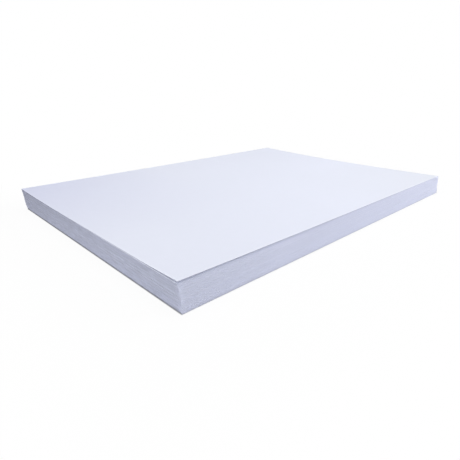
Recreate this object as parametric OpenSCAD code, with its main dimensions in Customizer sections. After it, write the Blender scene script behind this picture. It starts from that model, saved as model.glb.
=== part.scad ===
// A squared-up stack of loose A4 cardstock sheets, lying flat.
// X runs along the long side of the sheets, Y along the short side, Z up.
// The origin is at the middle of the stack's footprint, on the surface that it lies on.
// The near long edge faces -Y, and the left short edge faces -X.

/* [Sheet] */
// Long side of a sheet
sheet_length = 297; // [148:1:420]
// Short side of a sheet
sheet_width = 210; // [105:1:297]
// Thickness of the card
sheet_thickness = 0.32; // [0.15:0.01:0.6]

/* [Stack] */
// Number of sheets in the stack
sheet_count = 50; // [16:1:50]
// How far the top of the stack has slid to the left of its foot
lean_left = 1.15; // [0:0.05:4]
// How far the top of the stack has slid back from its foot
lean_back = 0.6; // [0:0.05:3]
// How the lean grows with height: 1 is evenly, and more puts it in the top of the stack
lean_power = 1.6; // [1:0.1:3]
// Angle in degrees that the middle of the stack is turned anticlockwise
twist = 0.15; // [0:0.01:0.3]
// How far whole bundles of sheets drift out of line
drift = 0.12; // [0:0.01:0.5]
// Number of sheets from one drifted bundle to the next
bundle_count = 29; // [3:1:30]
// Largest distance that a single sheet lies out of line to the left or right
stray_side = 0.15; // [0:0.01:0.5]
// Largest distance that a single sheet lies out of line to the front or back
stray_front = 0.08; // [0:0.01:0.5]
// Largest angle in degrees that a single sheet is turned out of line
stray_turn = 0.03; // [0:0.01:0.3]
// Angle in degrees that the top sheet is turned anticlockwise
top_turn = 0.12; // [0:0.01:0.3]
// How far the top sheet sticks out to the front
top_front = 0.4; // [0:0.05:1]
// Angle in degrees that the second sheet from the top is turned clockwise
second_turn = 0.1; // [0:0.01:0.4]
// How far the second sheet from the top sticks out to the left
second_left = 0.2; // [0:0.05:1]
// How far the second sheet from the top is set back
second_back = 0.2; // [0:0.05:1]
// How far the bottom sheet sticks out to the right
bottom_right = 0.6; // [0:0.05:1.5]

/* [Curl] */
// Number of sheets at the top that curl up at the far side
curled_count = 12; // [2:1:14]
// Heading in degrees, from X towards Y, along which the sheets bend
curl_heading = 75; // [10:1:80]
// Height that the far right corner of the top sheet rises
far_rise = 4.4; // [0:0.1:8]
// Distance along the heading over which the far side rises
far_reach = 185; // [60:1:200]
// Height that the near left corner of the top sheet rises
near_rise = 0.7; // [0:0.1:3]
// Distance along the heading over which the near left corner rises
near_reach = 36; // [20:1:80]

/* [Hidden] */
// Sheet 1 lies at the bottom, and the last sheet lies on top.

card_white = [0.93, 0.94, 0.98];
stack_height = sheet_count * sheet_thickness;

// How each sheet lies out of line
stray_seed = 11;
values_per_sheet = 3;
drift_phase_x = 70;
drift_phase_y = 170;
strays = rands(-1, 1, values_per_sheet * sheet_count, stray_seed);
second_sheet = sheet_count - 1;
sheets = [1 : sheet_count];

function stray_value(n, which) = strays[values_per_sheet * (n - 1) + which];

function drift_value(n, phase) = drift * sin(360 * n / bundle_count + phase);

function height_share(n) = (n - 1) / (sheet_count - 1);

function lean_share(n) = pow(height_share(n), lean_power);

function sheet_x(n) =
    -lean_left * lean_share(n) + drift_value(n, drift_phase_x) + stray_side * stray_value(n, 0)
    - (n == second_sheet ? second_left : 0)
    + (n == 1 ? bottom_right : 0);

function sheet_y(n) =
    lean_back * lean_share(n) + drift_value(n, drift_phase_y) + stray_front * stray_value(n, 1)
    + (n == second_sheet ? second_back : 0)
    - (n == sheet_count ? top_front : 0);

function sheet_turn(n) =
    twist * sin(180 * height_share(n)) + stray_turn * stray_value(n, 2)
    - (n == second_sheet ? second_turn : 0)
    + (n == sheet_count ? top_turn : 0);

// Middle of the footprint of the whole stack, so that the origin can lie there
function half_span(along, across, turn) = (along * cos(turn) + across * abs(sin(turn))) / 2;

function middle(places, halves) =
    (min(places - halves) + max(places + halves)) / 2;

middle_x = middle(
    [for (n = sheets) sheet_x(n)],
    [for (n = sheets) half_span(sheet_length, sheet_width, sheet_turn(n))]
);
middle_y = middle(
    [for (n = sheets) sheet_y(n)],
    [for (n = sheets) half_span(sheet_width, sheet_length, sheet_turn(n))]
);

// How the top sheets curl: they bend along the heading alone, and lie level between the two rises
far_power = 2.5;
near_power = 2;
grading = 1.5;
steps = 40;
corner_reach = (sheet_length * cos(curl_heading) + sheet_width * sin(curl_heading)) / 2;
overrun = 10;
end_reach = corner_reach + overrun;
headroom = 5;

// Share of the top sheet's rise at the far side, which falls to nothing below the curled sheets
function far_share(n) =
    pow(max(n - sheet_count + curled_count, 0) / curled_count, grading);

// Only the top sheet springs up at the near corner
function near_share(n) = n == sheet_count ? 1 : 0;

function rise_at(n, u) =
    far_rise * far_share(n) * pow(max(u - corner_reach + far_reach, 0) / far_reach, far_power)
    + near_rise * near_share(n) * pow(max(near_reach - corner_reach - u, 0) / near_reach, near_power);

// Distances along the heading at which the bend is worked out
stations = [for (k = [0 : steps]) end_reach * (2 * k / steps - 1)];

function curl_line(n, height) = [for (u = stations) [u, height + rise_at(n, u)]];

function backwards(line) = [for (k = [len(line) - 1 : -1 : 0]) line[k]];

// The cut shape of one sheet, as it lies in the stack
module sheet_outline(n) {
    translate([sheet_x(n) - middle_x, sheet_y(n) - middle_y])
        rotate(sheet_turn(n))
            square([sheet_length, sheet_width], center = true);
}

// A wide layer of card that is bent along the heading
module curled_layer(n, floor_height) {
    profile = concat(
        curl_line(n, floor_height),
        backwards(curl_line(n, floor_height + sheet_thickness))
    );
    rotate([90, 0, curl_heading])
        linear_extrude(height = 2 * (sheet_length + sheet_width), center = true)
            polygon(profile);
}

// One sheet of card: flat in the body of the stack, curled near its top
module sheet(n) {
    floor_height = (n - 1) * sheet_thickness;
    color(card_white)
        if (far_share(n) == 0) {
            translate([0, 0, floor_height])
                linear_extrude(height = sheet_thickness)
                    sheet_outline(n);
        } else {
            intersection() {
                linear_extrude(height = stack_height + far_rise + near_rise + headroom)
                    sheet_outline(n);
                curled_layer(n, floor_height);
            }
        }
}

for (n = sheets) {
    sheet(n);
}
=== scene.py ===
"""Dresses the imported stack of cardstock, lights it softly and frames it as the photograph does."""

import logging
import math
from dataclasses import dataclass
from enum import Enum
from functools import reduce

import bpy
import numpy as np
from mathutils import Euler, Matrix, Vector


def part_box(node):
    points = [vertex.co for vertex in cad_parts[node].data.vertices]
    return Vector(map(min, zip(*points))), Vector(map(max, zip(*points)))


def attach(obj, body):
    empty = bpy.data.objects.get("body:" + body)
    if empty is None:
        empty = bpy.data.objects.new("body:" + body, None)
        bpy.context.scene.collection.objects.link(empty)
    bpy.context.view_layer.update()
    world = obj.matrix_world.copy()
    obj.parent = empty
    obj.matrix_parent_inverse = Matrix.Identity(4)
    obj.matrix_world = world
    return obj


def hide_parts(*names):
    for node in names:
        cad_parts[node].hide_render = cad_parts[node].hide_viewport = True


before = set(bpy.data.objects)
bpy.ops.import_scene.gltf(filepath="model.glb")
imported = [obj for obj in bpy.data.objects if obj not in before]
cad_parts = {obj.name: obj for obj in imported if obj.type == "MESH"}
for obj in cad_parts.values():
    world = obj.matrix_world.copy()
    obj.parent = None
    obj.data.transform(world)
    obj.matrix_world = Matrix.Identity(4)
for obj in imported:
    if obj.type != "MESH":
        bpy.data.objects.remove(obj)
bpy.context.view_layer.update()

LOG = logging.getLogger("cardstock")
MM = 0.001
WHITE = (1.0, 1.0, 1.0, 1.0)
ROOT_BODY = "root"
FOOT_SHEET = "sheet_02"
CARD_PLACE = "card_place"
CARD_INSET = "card_inset"

Socket = bpy.types.NodeSocket
Inputs = bpy.types.bpy_prop_collection
Value = float | int | bool | tuple | Vector | Socket | bpy.types.Material
Colour = tuple[float, float, float]
Ramp = tuple[tuple[float, float], ...]


class SocketKind(Enum):
    """The kinds of socket on the rule that makes a sheet."""

    SHAPE = "NodeSocketGeometry"
    MATERIAL = "NodeSocketMaterial"
    VECTOR = "NodeSocketVector"
    WHOLE_NUMBER = "NodeSocketInt"
    NUMBER = "NodeSocketFloat"

    @classmethod
    def for_value(cls, value: Value) -> "SocketKind":
        """Chooses the kind of socket that holds a value.

        Args:
            value: The value.

        Returns:
            The kind.
        """
        if isinstance(value, bpy.types.Material):
            return cls.MATERIAL
        if isinstance(value, Vector):
            return cls.VECTOR
        if isinstance(value, int):
            return cls.WHOLE_NUMBER
        return cls.NUMBER


class NoiseLayer(Enum):
    """Where in the noise each unevenness of a sheet is read, far from the others."""

    END_TRIM = 100.0
    SIDE_TRIM = 200.0
    RIPPLE = 300.0


@dataclass(frozen=True)
class Graph:
    """A node tree under construction, with short calls that add nodes and join them."""

    tree: bpy.types.NodeTree

    def add(self, kind: str, inputs: dict[int | str, Value], **settings: object) -> bpy.types.Node:
        """Adds one node.

        Args:
            kind: Blender's name for the kind of node.
            inputs: A socket to join, or a value to set, for each input by name or by place.
            settings: The node's own settings.

        Returns:
            The new node.
        """
        node = self.tree.nodes.new(kind)
        for name, setting in settings.items():
            setattr(node, name, setting)
        for key, value in inputs.items():
            self.feed(node.inputs[key], value)
        return node

    def feed(self, socket: Socket, value: Value) -> None:
        """Joins a socket to another one, or sets its value.

        Args:
            socket: The input to feed.
            value: The output that feeds it, or a plain value.
        """
        if isinstance(value, bpy.types.NodeSocket):
            self.tree.links.new(value, socket)
        else:
            socket.default_value = value

    def math(self, operation: str, *values: Value) -> Socket:
        """Adds a Math node that works out an operation on values in order."""
        return self.add("ShaderNodeMath", dict(enumerate(values)), operation=operation).outputs[0]

    def vector(self, operation: str, *values: Value) -> Socket:
        """Adds a Vector Math node that works out an operation on values in order."""
        return self.add("ShaderNodeVectorMath", dict(enumerate(values)), operation=operation).outputs[0]

    def combine(self, x: Value, y: Value, z: Value) -> Socket:
        """Makes a vector of three numbers."""
        return self.add("ShaderNodeCombineXYZ", {0: x, 1: y, 2: z}).outputs[0]

    def separate(self, vector: Socket) -> tuple[Socket, Socket, Socket]:
        """Splits a vector into its three numbers."""
        x, y, z = self.add("ShaderNodeSeparateXYZ", {0: vector}).outputs
        return x, y, z

    def noise(self, at: Socket, scale: Value, detail: float = 2.0, roughness: float = 0.5) -> Socket:
        """Adds a noise texture.

        Args:
            at: Where the noise is read.
            scale: How many features there are in one unit.
            detail: How many finer layers it has.
            roughness: How strong the finer layers are.

        Returns:
            The noise, which lies about 0.5.
        """
        inputs = {"Vector": at, "Scale": scale, "Detail": detail, "Roughness": roughness}
        return self.add("ShaderNodeTexNoise", inputs).outputs[0]

    def swing(self, noise: Socket, amount: float) -> Socket:
        """Turns a noise into a factor that swings about 1 by an amount to either side."""
        away = self.math("SUBTRACT", noise, 0.5)
        return self.math("MULTIPLY_ADD", away, 2 * amount, 1.0)

    def product(self, *factors: Value) -> Socket:
        """Multiplies factors together."""
        return reduce(lambda first, second: self.math("MULTIPLY", first, second), factors)

    def map_range(self, at: Socket, start: float, end: float, low: float, high: float) -> Socket:
        """Turns a stretch of one value into a stretch of another.

        Args:
            at: The value that is read.
            start: Where its stretch starts.
            end: Where its stretch ends.
            low: The result up to the start.
            high: The result from the end on.

        Returns:
            The result.
        """
        inputs = {0: at, 1: start, 2: end, 3: low, 4: high}
        return self.add("ShaderNodeMapRange", inputs).outputs[0]

    def fall_off(self, distance: Socket, reach: float) -> Socket:
        """Gives a share that falls evenly from 1 at no distance to 0 at a reach."""
        return self.map_range(distance, 0.0, reach, 1.0, 0.0)

    def ramp(self, at: Socket, points: Ramp) -> Value:
        """Builds a value that runs in straight lines through given points.

        Args:
            at: Where the value is read.
            points: A place and the value there, in rising order of place.

        Returns:
            The value, which stays level before the first point and after the last.
        """
        value: Value = points[0][1]
        for (start, low), (end, high) in zip(points, points[1:]):
            value = self.math("ADD", self.map_range(at, start, end, 0.0, high - low), value)
        return value

    def object_place(self) -> Socket:
        """Reads a point's place on the object."""
        return self.add("ShaderNodeTexCoord", {}).outputs["Object"]

    def mesh_place(self) -> Socket:
        """Reads a point's place on the mesh that is being made."""
        return self.add("GeometryNodeInputPosition", {}).outputs[0]

    def attribute(self, name: str) -> Socket:
        """Reads a vector that is kept on the mesh."""
        return self.add("ShaderNodeAttribute", {}, attribute_name=name).outputs["Vector"]

    def keep(self, mesh: Socket, name: str, value: Socket) -> Socket:
        """Keeps a named vector on the points of a mesh, and gives the mesh with it."""
        inputs = {"Geometry": mesh, "Name": name, "Value": value}
        return self.add("GeometryNodeStoreNamedAttribute", inputs, data_type="FLOAT_VECTOR").outputs[0]

    def seen_plainly(self) -> Socket:
        """Builds a share that is 1 where a surface is looked at.

        Returns:
            1 for rays from the camera, off gloss and through glass, and 0 for rays of light.
        """
        rays = self.add("ShaderNodeLightPath", {}).outputs
        seen = self.math("MAXIMUM", rays["Is Camera Ray"], rays["Is Glossy Ray"])
        return self.math("MAXIMUM", seen, rays["Is Transmission Ray"])


@dataclass(frozen=True)
class Grain:
    """A noise whose features have one size in every direction."""

    size: float
    detail: float = 2.0
    roughness: float = 0.5

    def noise(self, graph: Graph, place: Socket) -> Socket:
        """Builds the noise, which lies about 0.5."""
        return graph.noise(place, 1 / self.size, self.detail, self.roughness)


@dataclass(frozen=True)
class Streaks:
    """A noise whose features have one size along the sheets and another across them."""

    length: float
    height: float

    def noise(self, graph: Graph, place: Socket) -> Socket:
        """Builds the noise, which lies about 0.5."""
        return graph.noise(graph.vector("DIVIDE", place, (self.length, self.length, self.height)), 1.0)


@dataclass(frozen=True)
class Pattern:
    """What a finish varies over the surface."""

    colour: Socket
    relief: Socket
    roughness: Socket


@dataclass(frozen=True)
class CardFinish:
    """What the finishes of the card share: a mottled colour, a fine relief and an uneven gloss."""

    name: str
    colour: Colour
    roughness: float
    roughness_swing: float
    specular: float
    relief_depth: float

    def material(self) -> bpy.types.Material:
        """Builds the finish.

        Returns:
            The material.
        """
        material = bpy.data.materials.new(self.name)
        material.use_nodes = True
        graph = Graph(material.node_tree)
        shader = material.node_tree.nodes["Principled BSDF"]
        pattern = self.pattern(graph)
        rough = graph.math("MULTIPLY", pattern.roughness, self.roughness)
        bump = graph.add("ShaderNodeBump", {"Height": pattern.relief, "Distance": self.relief_depth})
        graph.feed(shader.inputs["Base Color"], pattern.colour)
        graph.feed(shader.inputs["Roughness"], rough)
        graph.feed(shader.inputs["Specular IOR Level"], self.specular)
        graph.feed(shader.inputs["Normal"], bump.outputs[0])
        return material

    def pattern(self, graph: Graph) -> Pattern:
        """Builds what the finish varies over the surface.

        Args:
            graph: The material's tree.

        Returns:
            The pattern.
        """
        raise NotImplementedError


@dataclass(frozen=True)
class CornerShade:
    """Painted shade: a faint darker tint that is full at one corner of the card and fades along both of its
    sides.
    """

    colour: Colour
    along: Ramp
    across: Ramp

    def factor(self, graph: Graph, x: Socket, y: Socket) -> Socket:
        """Builds the painted shade.

        Args:
            graph: The material's tree.
            x: The place along the long side.
            y: The place along the short side.

        Returns:
            The factor for the colour, channel by channel.
        """
        share = graph.product(graph.ramp(x, self.along), graph.ramp(y, self.across))
        change = tuple(channel - 1.0 for channel in self.colour)
        return graph.vector("MULTIPLY_ADD", share, change, (1.0, 1.0, 1.0))


@dataclass(frozen=True)
class CardFaceFinish(CardFinish):
    """The smooth uncoated face of white card: faint clouds, a very fine tooth, a paler rim that is partly
    wear and partly painted highlight, and painted shade at two corners.
    """

    name: str = "card_face"
    colour: Colour = (0.823, 0.848, 0.952)
    roughness: float = 0.85
    roughness_swing: float = 0.08
    specular: float = 0.12
    relief_depth: float = 0.006 * MM
    clouds: Grain = Grain(5 * MM, detail=4.0, roughness=0.6)
    cloud_amount: float = 0.012
    shades: Grain = Grain(70 * MM, detail=1.0)
    shade_amount: float = 0.010
    tooth: Grain = Grain(0.35 * MM, detail=3.0, roughness=0.65)
    # The paler rim along the sheet's edges is partly wear and partly painted highlight where the cut edges
    # catch light.
    rim_width: float = 2.2 * MM
    rim_amount: float = 0.04
    # Painted shade: the far left and near right corners of the face are tinted a little darker.
    far_left: CornerShade = CornerShade(
        colour=(0.894, 0.894, 0.965),
        along=((0.0, 1.0), (120 * MM, 0.0)),
        across=((60 * MM, 0.0), (210 * MM, 1.0)),
    )
    near_right: CornerShade = CornerShade(
        colour=(0.932, 0.932, 0.905),
        along=((150 * MM, 0.0), (297 * MM, 1.0)),
        across=((0.0, 1.0), (100 * MM, 0.0)),
    )

    def pattern(self, graph: Graph) -> Pattern:
        """Builds the clouds, the tooth, the rim with its painted highlight, and the painted shade at two
        corners.

        Args:
            graph: The material's tree.

        Returns:
            The pattern.
        """
        place = graph.object_place()
        x, y, _ = graph.separate(graph.attribute(CARD_PLACE))
        from_end, from_side, _ = graph.separate(graph.attribute(CARD_INSET))
        clouds = self.clouds.noise(graph, place)
        # Paler rim near the edges: partly wear, partly painted highlight.
        rim = graph.fall_off(graph.math("MINIMUM", from_end, from_side), self.rim_width)
        tone = graph.product(
            graph.swing(clouds, self.cloud_amount),
            graph.swing(self.shades.noise(graph, place), self.shade_amount),
            graph.math("MULTIPLY_ADD", rim, self.rim_amount, 1.0),
        )
        colour = graph.vector("MULTIPLY", tone, self.colour)
        # Painted shade at the far left and near right corners.
        for corner in (self.far_left, self.near_right):
            colour = graph.vector("MULTIPLY", colour, corner.factor(graph, x, y))
        return Pattern(colour, self.tooth.noise(graph, place), graph.swing(clouds, self.roughness_swing))


@dataclass(frozen=True)
class EdgePlace:
    """Where a point lies on the cut edges of the stack."""

    from_corner: Socket
    below_top: Socket
    above_floor: Socket


@dataclass(frozen=True)
class CutSide:
    """How the cut edges along one direction look: how streaked they are, and the painted light and shade on
    them.
    """

    mottle_amount: float
    line_amount: float
    shading_upwards: Ramp
    shading_along: Ramp
    under_top_shade: Ramp
    head_height: float
    foot_shadow: Ramp
    foot_height: float

    def tone(self, graph: Graph, mottle: Socket, lines: Socket, edge: EdgePlace) -> Socket:
        """Builds the tone of the cut edges, with painted shade under the top sheet, a painted shadow at the
        foot, and painted light and shade up and along them.

        Args:
            graph: The material's tree.
            mottle: The noise of short streaks.
            lines: The noise of long lines.
            edge: Where the shaded point lies on the edges.

        Returns:
            The factor for the colour.
        """
        under_top_shade = graph.ramp(edge.from_corner, self.under_top_shade)
        foot_shadow = graph.ramp(edge.from_corner, self.foot_shadow)
        # Painted shade under the top sheet: the cut edges darker within a short depth below the top of the
        # stack.
        head = graph.product(graph.fall_off(edge.below_top, self.head_height), under_top_shade)
        # Painted shadow at the foot: the cut edges darker close to the floor.
        foot = graph.product(graph.fall_off(edge.above_floor, self.foot_height), foot_shadow)
        return graph.product(
            graph.swing(mottle, self.mottle_amount),
            graph.swing(lines, self.line_amount),
            # Painted light and shade: the cut edges lighter or darker with height and along the side.
            graph.ramp(edge.above_floor, self.shading_upwards),
            graph.ramp(edge.from_corner, self.shading_along),
            graph.math("SUBTRACT", 1.0, head),
            graph.math("SUBTRACT", 1.0, foot),
        )


@dataclass(frozen=True)
class CutEdgeFinish(CardFinish):
    """The cut edge of the card: streaks along each sheet, blade marks across them, and fibres, in a darker
    and bluer copy of the face's colour that is painted shade.
    """

    name: str = "card_cut_edge"
    # Painted shade: darker and bluer than the face, for shade between the sheets and bluish fill light.
    colour: Colour = (0.695, 0.72, 0.866)
    roughness: float = 0.85
    roughness_swing: float = 0.05
    specular: float = 0.10
    relief_depth: float = 0.003 * MM
    mottle: Streaks = Streaks(length=8 * MM, height=0.8 * MM)
    lines: Streaks = Streaks(length=120 * MM, height=0.7 * MM)
    blade_marks: Streaks = Streaks(length=1.2 * MM, height=30 * MM)
    blade_amount: float = 0.008
    fibres: Grain = Grain(0.2 * MM, roughness=0.6)
    fibre_amount: float = 0.006
    corner_width: float = 3 * MM
    corner_amount: float = 0.09
    end_side: CutSide = CutSide(
        mottle_amount=0.24,
        line_amount=0.12,
        # Painted light and shade on the short sides: lighter low down, darker near the top, and changing
        # along.
        shading_upwards=((3 * MM, 1.09), (6.5 * MM, 0.97), (9.5 * MM, 0.99), (13 * MM, 0.90)),
        shading_along=((0.0, 1.0), (55 * MM, 1.055), (210 * MM, 0.94)),
        # Painted shade under the top sheet on the short sides.
        under_top_shade=((190 * MM, 0.12), (230 * MM, 0.0)),
        head_height=1.6 * MM,
        # Painted shadow at the foot of the short sides, nearly black at the floor.
        foot_shadow=((60 * MM, 0.85), (200 * MM, 1.0)),
        foot_height=1.15 * MM,
    )
    long_side: CutSide = CutSide(
        mottle_amount=0.025,
        line_amount=0.04,
        # Painted light and shade on the long sides: slightly darker upwards and towards the near end.
        shading_upwards=((0.0, 0.99), (3 * MM, 0.98)),
        shading_along=((0.0, 0.92), (65 * MM, 1.0), (140 * MM, 1.01)),
        # Painted shade under the top sheet on the long sides, strongest near the near end.
        under_top_shade=((110 * MM, 0.26), (330 * MM, 0.0)),
        head_height=1.4 * MM,
        # Painted shadow at the foot of the long sides.
        foot_shadow=((0.0, 0.19), (297 * MM, 0.17)),
        foot_height=0.9 * MM,
    )

    def pattern(self, graph: Graph) -> Pattern:
        """Builds the streaks, the blade marks, the fibres, the painted shade under the top sheet and the
        painted shadow at the foot.

        Args:
            graph: The material's tree.

        Returns:
            The pattern.
        """
        place = graph.attribute(CARD_PLACE)
        x, y, z = graph.separate(place)
        from_end, from_side, below_top = graph.separate(graph.attribute(CARD_INSET))
        mottle = self.mottle.noise(graph, place)
        lines = self.lines.noise(graph, place)
        fibres = self.fibres.noise(graph, graph.object_place())
        end_tone = self.end_side.tone(graph, mottle, lines, EdgePlace(y, below_top, z))
        long_tone = self.long_side.tone(graph, mottle, lines, EdgePlace(x, below_top, z))
        on_end = graph.math("LESS_THAN", from_end, from_side)
        side_tone = graph.add("ShaderNodeMix", {0: on_end, 2: long_tone, 3: end_tone}).outputs[0]
        corner = graph.fall_off(graph.math("MAXIMUM", from_end, from_side), self.corner_width)
        tone = graph.product(
            side_tone,
            graph.swing(self.blade_marks.noise(graph, place), self.blade_amount),
            graph.swing(fibres, self.fibre_amount),
            graph.math("MULTIPLY_ADD", corner, self.corner_amount, 1.0),
        )
        colour = graph.vector("MULTIPLY", tone, self.colour)
        return Pattern(colour, fibres, graph.swing(mottle, self.roughness_swing))


@dataclass(frozen=True)
class FloorFinish:
    """A plain white floor: bare under the stack and at its foot, and seen as white further away."""

    foot_low: Vector
    foot_high: Vector
    colour: Colour = (0.90, 0.90, 0.90)
    foot_margin: float = 0.3 * MM
    shadow_reach: float = 90 * MM
    shadow_share: float = 0.05

    def material(self) -> bpy.types.Material:
        """Builds the finish.

        Returns:
            The material for the floor.
        """
        material = bpy.data.materials.new("white_floor")
        material.use_nodes = True
        material.node_tree.nodes.clear()
        graph = Graph(material.node_tree)
        x, y, _ = graph.separate(graph.object_place())
        past_end = self.past_side(graph, x, self.foot_low.x, self.foot_high.x)
        past_side = self.past_side(graph, y, self.foot_low.y, self.foot_high.y)
        past = graph.math("MAXIMUM", past_end, past_side)
        beyond_foot = graph.math("SUBTRACT", 1.0, graph.fall_off(past, self.foot_margin))
        shadow = graph.math("MULTIPLY", graph.fall_off(past, self.shadow_reach), self.shadow_share)
        white = graph.math("MULTIPLY", beyond_foot, graph.math("SUBTRACT", 1.0, shadow))
        share = graph.math("MULTIPLY", graph.seen_plainly(), white)
        matt = graph.add("ShaderNodeBsdfDiffuse", {"Color": (*self.colour, 1.0)}).outputs[0]
        glow = graph.add("ShaderNodeEmission", {"Color": WHITE, "Strength": 1.0}).outputs[0]
        mix = graph.add("ShaderNodeMixShader", {0: share, 1: matt, 2: glow}).outputs[0]
        graph.add("ShaderNodeOutputMaterial", {"Surface": mix})
        return material

    @staticmethod
    def past_side(graph: Graph, place: Socket, low: float, high: float) -> Socket:
        """Gives how far a place lies outside two opposite sides of the stack's foot.

        Args:
            graph: The tree under construction.
            place: The place along one axis.
            low: Where one side lies.
            high: Where the other side lies.

        Returns:
            The distance in metres, negative between the sides.
        """
        offset = graph.math("SUBTRACT", place, (low + high) / 2)
        return graph.math("SUBTRACT", graph.math("ABSOLUTE", offset), (high - low) / 2)


@dataclass(frozen=True)
class Bend:
    """How the top sheets bend: along one heading alone, level between a far and a near rise."""

    heading: float = math.radians(75)
    far_reach: float = 185 * MM
    far_power: float = 2.5
    near_reach: float = 36 * MM
    near_power: float = 2.0

    def corner_reach(self, length: float, width: float) -> float:
        """Works out how far along the heading a corner lies from the middle of the stack.

        Args:
            length: The long side of a sheet.
            width: The short side of a sheet.

        Returns:
            The distance in metres.
        """
        return (length * math.cos(self.heading) + width * math.sin(self.heading)) / 2

    def along(self, point: Vector) -> float:
        """Gives a point's distance along the heading."""
        return point.x * math.cos(self.heading) + point.y * math.sin(self.heading)

    def far_share(self, along: float, corner: float) -> float:
        """Gives the share of the far rise that a distance along the heading has."""
        past = max(along - corner + self.far_reach, 0.0)
        return (past / self.far_reach) ** self.far_power

    def near_share(self, along: float, corner: float) -> float:
        """Gives the share of the near rise that a distance along the heading has."""
        past = max(self.near_reach - corner - along, 0.0)
        return (past / self.near_reach) ** self.near_power


@dataclass(frozen=True)
class SheetPlace:
    """Where one sheet of card lies, how large it is and how far its corners rise."""

    node: str
    length: float
    width: float
    thickness: float
    middle: Vector
    turn: float
    far_rise: float
    near_rise: float

    @classmethod
    def of_node(cls, node: str, thickness: float, bend: Bend) -> "SheetPlace":
        """Reads a place from the frame.

        Args:
            node: The name of the frame's sheet.
            thickness: The thickness of the card.
            bend: How the top sheets bend.

        Returns:
            The sheet's place.
        """
        points = np.array([tuple(v.co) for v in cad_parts[node].data.vertices])
        total = points[:, 0] + points[:, 1]
        slant = points[:, 0] - points[:, 1]
        near_left = Vector(points[total.argmin()])
        far_right = Vector(points[total.argmax()])
        near_right = Vector(points[slant.argmax()])
        far_left = Vector(points[slant.argmin()])
        corners = (near_left, far_right, near_right, far_left)
        middle = sum(corners, Vector()) / len(corners)
        side = (near_right - near_left).to_2d()
        other = (far_left - near_left).to_2d()
        reach = bend.corner_reach(side.length, other.length)
        far_lift = cls.lift_at(points, far_right, thickness)
        near_lift = cls.lift_at(points, near_left, thickness)
        return cls(
            node=node,
            length=side.length,
            width=other.length,
            thickness=thickness,
            middle=Vector((middle.x, middle.y, points[:, 2].min())),
            turn=math.atan2(side.y, side.x),
            far_rise=far_lift / bend.far_share(bend.along(far_right), reach),
            near_rise=near_lift / bend.near_share(bend.along(near_left), reach),
        )

    @staticmethod
    def lift_at(points: np.ndarray, corner: Vector, thickness: float) -> float:
        """Measures how far a corner of a sheet is lifted off the sheet below.

        Args:
            points: The sheet's points.
            corner: One of them at the corner.
            thickness: The thickness of the card, of which a corner's points lie well within half.

        Returns:
            The lift in metres.
        """
        away = np.hypot(points[:, 0] - corner.x, points[:, 1] - corner.y)
        top = points[away < thickness / 2, 2].max()
        return float(top - points[:, 2].min()) - thickness


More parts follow.
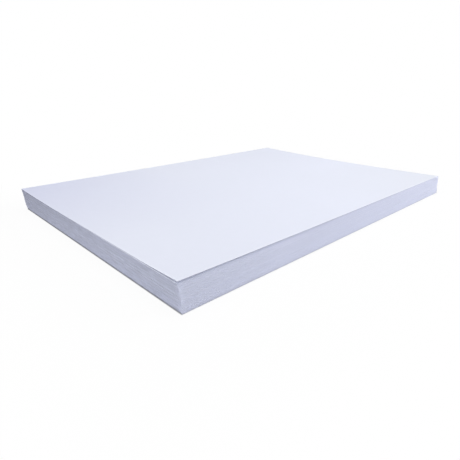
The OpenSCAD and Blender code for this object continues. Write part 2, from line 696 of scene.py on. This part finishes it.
@dataclass(frozen=True)
class CardSheets:
    """All the sheets of the stack: one rule cuts, lays and bends each of them."""

    face: bpy.types.Material
    edge: bpy.types.Material
    bend: Bend = Bend()
    cell: float = 6 * MM
    softness: float = 0.03 * MM
    gap: float = 0.024 * MM
    ripple: float = 0.010 * MM
    ripple_size: float = 45 * MM
    trim: float = 0.10 * MM
    trim_size: float = 30 * MM
    seed_step: float = 7.31
    merge_distance: float = 0.001 * MM
    edge_normal_limit: float = 0.9
    crease: float = math.radians(25)

    def inputs_of(self, place: SheetPlace, number: int, sheet_count: int) -> dict[str, Value]:
        """Gives the rule's inputs for one sheet.

        Args:
            place: Where the sheet lies.
            number: The sheet's number, counted from the bottom.
            sheet_count: How many sheets there are.

        Returns:
            A value for each named input.
        """
        return {
            "Length": place.length,
            "Width": place.width,
            "Thickness": place.thickness - self.gap,
            "Softness": self.softness,
            "Columns": round(place.length / self.cell) + 1,
            "Rows": round(place.width / self.cell) + 1,
            "Middle": place.middle + Vector((0.0, 0.0, self.gap / 2)),
            "Foot Height": place.middle.z,
            "Stack Height": place.thickness * sheet_count,
            "Turn": place.turn,
            "Heading": self.bend.heading,
            "Corner Reach": self.bend.corner_reach(place.length, place.width),
            "Far Rise": place.far_rise,
            "Far Reach": self.bend.far_reach,
            "Far Power": self.bend.far_power,
            "Near Rise": place.near_rise,
            "Near Reach": self.bend.near_reach,
            "Near Power": self.bend.near_power,
            "Ripple": self.ripple,
            "Ripple Size": self.ripple_size,
            "Trim": self.trim,
            "Trim Size": self.trim_size,
            "Seed": number * self.seed_step,
            "Face": self.face,
            "Edge": self.edge,
        }

    def tree(self, sample: dict[str, Value]) -> bpy.types.NodeTree:
        """Builds the rule that makes a sheet.

        Args:
            sample: One sheet's inputs, which give each input its kind.

        Returns:
            The Geometry Nodes tree.
        """
        tree = bpy.data.node_groups.new("card_sheet", "GeometryNodeTree")
        tree.interface.new_socket("Geometry", in_out="OUTPUT", socket_type=SocketKind.SHAPE.value)
        for name, value in sample.items():
            kind = SocketKind.for_value(value)
            tree.interface.new_socket(name, in_out="INPUT", socket_type=kind.value)
        graph = Graph(tree)
        given = graph.add("NodeGroupInput", {}).outputs
        blank = self.blank_sheet(graph, given)
        marked = self.marked_sheet(graph, given, blank)
        uneven = self.uneven_sheet(graph, given, marked)
        inputs = {
            "Geometry": uneven,
            "Translation": given["Middle"],
            "Rotation": graph.combine(0.0, 0.0, given["Turn"]),
        }
        laid = graph.add("GeometryNodeTransform", inputs).outputs[0]
        bent = self.bent_sheet(graph, given, laid)
        graph.add("NodeGroupOutput", {0: self.finished_sheet(graph, given, bent)})
        return tree

    def blank_sheet(self, graph: Graph, given: Inputs) -> Socket:
        """Cuts a flat sheet with softened edges, centred on the origin and standing on it.

        Args:
            graph: The tree under construction.
            given: The tree's inputs.

        Returns:
            The closed sheet.
        """
        softness = given["Softness"]
        inner_x = graph.math("MULTIPLY_ADD", softness, -2.0, given["Length"])
        inner_y = graph.math("MULTIPLY_ADD", softness, -2.0, given["Width"])
        inputs = {0: inner_x, 1: inner_y, 2: given["Columns"], 3: given["Rows"]}
        grid = graph.add("GeometryNodeMeshGrid", inputs).outputs[0]
        wider = graph.combine(
            graph.math("DIVIDE", given["Length"], inner_x),
            graph.math("DIVIDE", given["Width"], inner_y),
            1.0,
        )
        upright = graph.math("MULTIPLY_ADD", softness, -2.0, given["Thickness"])
        place = graph.mesh_place()
        steps = (
            (softness, graph.vector("MULTIPLY", place, wider)),
            (upright, None),
            (softness, graph.vector("DIVIDE", place, wider)),
        )
        mesh: Socket = grid
        chosen: Value = True
        for height, moved in steps:
            inputs = {
                "Mesh": mesh,
                "Selection": chosen,
                "Offset": (0.0, 0.0, 1.0),
                "Offset Scale": height,
                "Individual": False,
            }
            raised = graph.add("GeometryNodeExtrudeMesh", inputs).outputs
            mesh = raised["Mesh"]
            chosen = raised["Top"]
            if moved is not None:
                inputs = {"Geometry": mesh, "Selection": chosen, "Position": moved}
                mesh = graph.add("GeometryNodeSetPosition", inputs).outputs[0]
        underside = graph.add("GeometryNodeFlipFaces", {0: grid}).outputs[0]
        both = graph.add("GeometryNodeJoinGeometry", {0: mesh})
        graph.feed(both.inputs[0], underside)
        inputs = {"Geometry": both.outputs[0], "Distance": self.merge_distance}
        return graph.add("GeometryNodeMergeByDistance", inputs).outputs[0]

    @staticmethod
    def marked_sheet(graph: Graph, given: Inputs, sheet: Socket) -> Socket:
        """Keeps on a sheet where each of its points lies in the flat stack, for the finishes.

        Args:
            graph: The tree under construction.
            given: The tree's inputs.
            sheet: The flat sheet.

        Returns:
            The sheet with its two attributes.
        """
        x, y, z = graph.separate(graph.mesh_place())
        half_length = graph.math("MULTIPLY", given["Length"], 0.5)
        half_width = graph.math("MULTIPLY", given["Width"], 0.5)
        height = graph.math("ADD", z, given["Foot Height"])
        place = graph.combine(graph.math("ADD", x, half_length), graph.math("ADD", y, half_width), height)
        inset = graph.combine(
            graph.math("SUBTRACT", half_length, graph.math("ABSOLUTE", x)),
            graph.math("SUBTRACT", half_width, graph.math("ABSOLUTE", y)),
            graph.math("SUBTRACT", given["Stack Height"], height),
        )
        return graph.keep(graph.keep(sheet, CARD_PLACE, place), CARD_INSET, inset)

    def uneven_sheet(self, graph: Graph, given: Inputs, sheet: Socket) -> Socket:
        """Gives a sheet its slight ripple and its slightly uneven trimmed edges.

        Args:
            graph: The tree under construction.
            given: The tree's inputs.
            sheet: The flat sheet.

        Returns:
            The uneven sheet.
        """
        x, y, _ = graph.separate(graph.mesh_place())
        seed = given["Seed"]
        end_trim = self.wander(graph, seed, (0.0, y), given["Trim Size"], NoiseLayer.END_TRIM)
        side_trim = self.wander(graph, seed, (x, 0.0), given["Trim Size"], NoiseLayer.SIDE_TRIM)
        ripple = self.wander(graph, seed, (x, y), given["Ripple Size"], NoiseLayer.RIPPLE)
        in_x = graph.product(graph.math("DIVIDE", x, given["Length"]), given["Trim"], end_trim)
        in_y = graph.product(graph.math("DIVIDE", y, given["Width"]), given["Trim"], side_trim)
        lift = graph.math("MULTIPLY", given["Ripple"], ripple)
        inputs = {"Geometry": sheet, "Offset": graph.combine(in_x, in_y, lift)}
        return graph.add("GeometryNodeSetPosition", inputs).outputs[0]

    @staticmethod
    def wander(
        graph: Graph, seed: Socket, at: tuple[Value, Value], size: Socket, layer: NoiseLayer
    ) -> Socket:
        """Builds a slow noise that has its own pattern for each sheet.

        Args:
            graph: The tree under construction.
            seed: The sheet's own place in the noise.
            at: The place on the sheet.
            size: The size of the features.
            layer: The unevenness that the noise is for.

        Returns:
            The noise, which lies between about -1 and 0.
        """
        along, across = (graph.math("DIVIDE", place, size) for place in at)
        spot = graph.combine(along, across, graph.math("ADD", seed, layer.value))
        return graph.math("SUBTRACT", graph.noise(spot, 1.0, detail=1.0), 1.0)

    def bent_sheet(self, graph: Graph, given: Inputs, sheet: Socket) -> Socket:
        """Lets the far side and the near corner of a sheet rise.

        Args:
            graph: The tree under construction.
            given: The tree's inputs.
            sheet: The sheet where it lies.

        Returns:
            The bent sheet.
        """
        x, y, _ = graph.separate(graph.mesh_place())
        along_x = graph.math("MULTIPLY", x, graph.math("COSINE", given["Heading"]))
        along_y = graph.math("MULTIPLY", y, graph.math("SINE", given["Heading"]))
        along = graph.math("ADD", along_x, along_y)
        backwards = graph.math("MULTIPLY", along, -1.0)
        far_past = graph.math("SUBTRACT", along, given["Corner Reach"])
        near_past = graph.math("SUBTRACT", backwards, given["Corner Reach"])
        lift = graph.math(
            "ADD",
            self.rise(graph, far_past, given["Far Reach"], given["Far Power"], given["Far Rise"]),
            self.rise(graph, near_past, given["Near Reach"], given["Near Power"], given["Near Rise"]),
        )
        inputs = {"Geometry": sheet, "Offset": graph.combine(0.0, 0.0, lift)}
        return graph.add("GeometryNodeSetPosition", inputs).outputs[0]

    @staticmethod
    def rise(graph: Graph, past: Socket, reach: Socket, power: Socket, height: Socket) -> Socket:
        """Builds a rise that starts level and grows by a power up to a corner.

        Args:
            graph: The tree under construction.
            past: How far past the corner a point lies, negative before it.
            reach: How far before the corner the rise starts.
            power: How steeply it grows.
            height: The rise at the corner.

        Returns:
            The rise in metres.
        """
        share = graph.math("DIVIDE", graph.math("ADD", past, reach), reach)
        return graph.math("MULTIPLY", graph.math("POWER", graph.math("MAXIMUM", share, 0.0), power), height)

    def finished_sheet(self, graph: Graph, given: Inputs, sheet: Socket) -> Socket:
        """Puts the face's finish on a sheet, and the edge's finish on what stands upright.

        Args:
            graph: The tree under construction.
            given: The tree's inputs.
            sheet: The bent sheet.

        Returns:
            The sheet with its finishes.
        """
        real = graph.add("GeometryNodeRealizeInstances", {0: sheet}).outputs[0]
        inputs = {"Geometry": real, "Material": given["Face"]}
        faced = graph.add("GeometryNodeSetMaterial", inputs).outputs[0]
        normal = graph.add("GeometryNodeInputNormal", {}).outputs[0]
        level = graph.math("ABSOLUTE", graph.separate(normal)[2])
        on_edge = graph.math("LESS_THAN", level, self.edge_normal_limit)
        inputs = {"Geometry": faced, "Selection": on_edge, "Material": given["Edge"]}
        return graph.add("GeometryNodeSetMaterial", inputs).outputs[0]

    def bake(self, name: str, tree: bpy.types.NodeTree, inputs: dict[str, Value]) -> bpy.types.Object:
        """Runs the rule for one sheet and keeps the result as a plain mesh.

        Args:
            name: The name of the piece.
            tree: The rule.
            inputs: A value for each of its named inputs.

        Returns:
            The finished piece.
        """
        carrier = bpy.data.objects.new(name + "_rule", bpy.data.meshes.new(name + "_rule"))
        bpy.context.scene.collection.objects.link(carrier)
        modifier = carrier.modifiers.new("card_sheet", "NODES")
        modifier.node_group = tree
        sockets = {s.name: s for s in tree.interface.items_tree if s.in_out == "INPUT"}
        for key, value in inputs.items():
            modifier[sockets[key].identifier] = value
        evaluated = carrier.evaluated_get(bpy.context.evaluated_depsgraph_get())
        mesh = bpy.data.meshes.new_from_object(evaluated)
        carrier.modifiers.remove(modifier)
        bpy.data.objects.remove(carrier)
        mesh.name = name
        mesh.shade_smooth()
        mesh.set_sharp_from_angle(angle=self.crease)
        piece = bpy.data.objects.new(name, mesh)
        bpy.context.scene.collection.objects.link(piece)
        return piece

    def build(self) -> list[bpy.types.Object]:
        """Makes every sheet of the stack where the frame holds it.

        Returns:
            The sheets, from the bottom up.
        """
        nodes = sorted(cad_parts)
        low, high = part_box(nodes[0])
        thickness = high.z - low.z
        places = [SheetPlace.of_node(node, thickness, self.bend) for node in nodes]
        all_inputs = [self.inputs_of(place, k, len(nodes)) for k, place in enumerate(places, start=1)]
        tree = self.tree(all_inputs[0])
        sheets = []
        for place, inputs in zip(places, all_inputs):
            piece = self.bake(place.node.replace("sheet", "card"), tree, inputs)
            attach(piece, ROOT_BODY)
            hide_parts(place.node)
            LOG.info("%s stands for %s: %d faces", piece.name, place.node, len(piece.data.polygons))
            sheets.append(piece)
        return sheets


@dataclass(frozen=True)
class SoftLamp:
    """A square soft lamp that points at the stack."""

    name: str
    place: Vector
    size: float
    power: float
    target: Vector = Vector((0.0, 0.0, 0.0))

    def build(self) -> bpy.types.Object:
        """Hangs the lamp.

        Returns:
            The lamp.
        """
        data = bpy.data.lights.new(self.name, "AREA")
        data.shape = "SQUARE"
        data.size = self.size
        data.energy = self.power
        lamp = bpy.data.objects.new(self.name, data)
        lamp.location = self.place
        lamp.rotation_euler = (self.target - self.place).to_track_quat("-Z", "Y").to_euler()
        lamp.visible_camera = False
        bpy.context.scene.collection.objects.link(lamp)
        return lamp


@dataclass(frozen=True)
class Studio:
    """The plain pale floor, the soft lamps and the white surroundings."""

    floor_finish: FloorFinish
    floor_side: float = 12.0
    sky_strength: float = 0.30
    sky_colour: Colour = (0.97, 0.98, 1.0)
    lamps: tuple[SoftLamp, ...] = (
        SoftLamp("overhead_lamp", Vector((0.0, 0.0, 0.7)), size=0.5, power=2.22),
        SoftLamp("right_lamp", Vector((0.9, -0.6, 0.5)), size=0.6, power=5.08),
        SoftLamp("front_lamp", Vector((0.35, -0.4, 0.3)), size=0.3, power=0.54),
        SoftLamp("left_lamp", Vector((-0.55, -0.35, 0.35)), size=0.3, power=0.77),
    )

    def build_floor(self) -> bpy.types.Object:
        """Lays the floor that the stack stands on.

        Returns:
            The floor.
        """
        half = self.floor_side / 2
        mesh = bpy.data.meshes.new("floor")
        corners = [(-half, -half, 0.0), (half, -half, 0.0), (half, half, 0.0), (-half, half, 0.0)]
        mesh.from_pydata(corners, [], [(0, 1, 2, 3)])
        mesh.materials.append(self.floor_finish.material())
        floor = bpy.data.objects.new("floor", mesh)
        bpy.context.scene.collection.objects.link(floor)
        return floor

    def build_sky(self) -> None:
        """Surrounds the scene with a soft light that the camera sees as white."""
        world = bpy.data.worlds.new("studio")
        world.use_nodes = True
        world.node_tree.nodes.clear()
        graph = Graph(world.node_tree)
        inputs = {"Color": (*self.sky_colour, 1.0), "Strength": self.sky_strength}
        light = graph.add("ShaderNodeBackground", inputs).outputs[0]
        white = graph.add("ShaderNodeBackground", {"Color": WHITE, "Strength": 1.0}).outputs[0]
        mix = graph.add("ShaderNodeMixShader", {0: graph.seen_plainly(), 1: light, 2: white}).outputs[0]
        graph.add("ShaderNodeOutputWorld", {"Surface": mix})
        bpy.context.scene.world = world

    def build(self) -> None:
        """Builds the floor, the surroundings and the lamps."""
        self.build_floor()
        self.build_sky()
        for lamp in self.lamps:
            lamp.build()
            LOG.info("%s: %.1f W", lamp.name, lamp.power)
        bpy.context.scene.view_settings.view_transform = "Standard"


@dataclass(frozen=True)
class PhotoCamera:
    """The camera, at the photograph's viewing angle."""

    place: Vector = Vector((-226.47 * MM, -218.86 * MM, 90.42 * MM))
    heading: float = math.radians(46.621)
    pitch: float = math.radians(-20.616)
    focal_pixels: float = 371.0
    picture_side: float = 460.0
    sensor_width: float = 36.0
    nearest: float = 10 * MM
    farthest: float = 100.0

    def build(self) -> bpy.types.Object:
        """Sets the camera up and makes it the scene's own.

        Returns:
            The camera.
        """
        data = bpy.data.cameras.new("photo_camera")
        data.sensor_width = self.sensor_width
        data.lens = self.focal_pixels / self.picture_side * self.sensor_width
        data.clip_start = self.nearest
        data.clip_end = self.farthest
        camera = bpy.data.objects.new("photo_camera", data)
        camera.location = self.place
        camera.rotation_euler = Euler((math.pi / 2 + self.pitch, 0.0, self.heading - math.pi / 2))
        bpy.context.scene.collection.objects.link(camera)
        bpy.context.scene.camera = camera
        return camera


def main() -> None:
    """Builds the camera, the sheets and the studio, and reports each piece."""
    logging.basicConfig(level=logging.INFO, format="%(name)s: %(message)s")
    PhotoCamera().build()
    sheets = CardSheets(face=CardFaceFinish().material(), edge=CutEdgeFinish().material()).build()
    LOG.info("%d sheets of card", len(sheets))
    foot_low, foot_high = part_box(FOOT_SHEET)
    Studio(FloorFinish(foot_low, foot_high)).build()


if __name__ == "__main__":
    main()
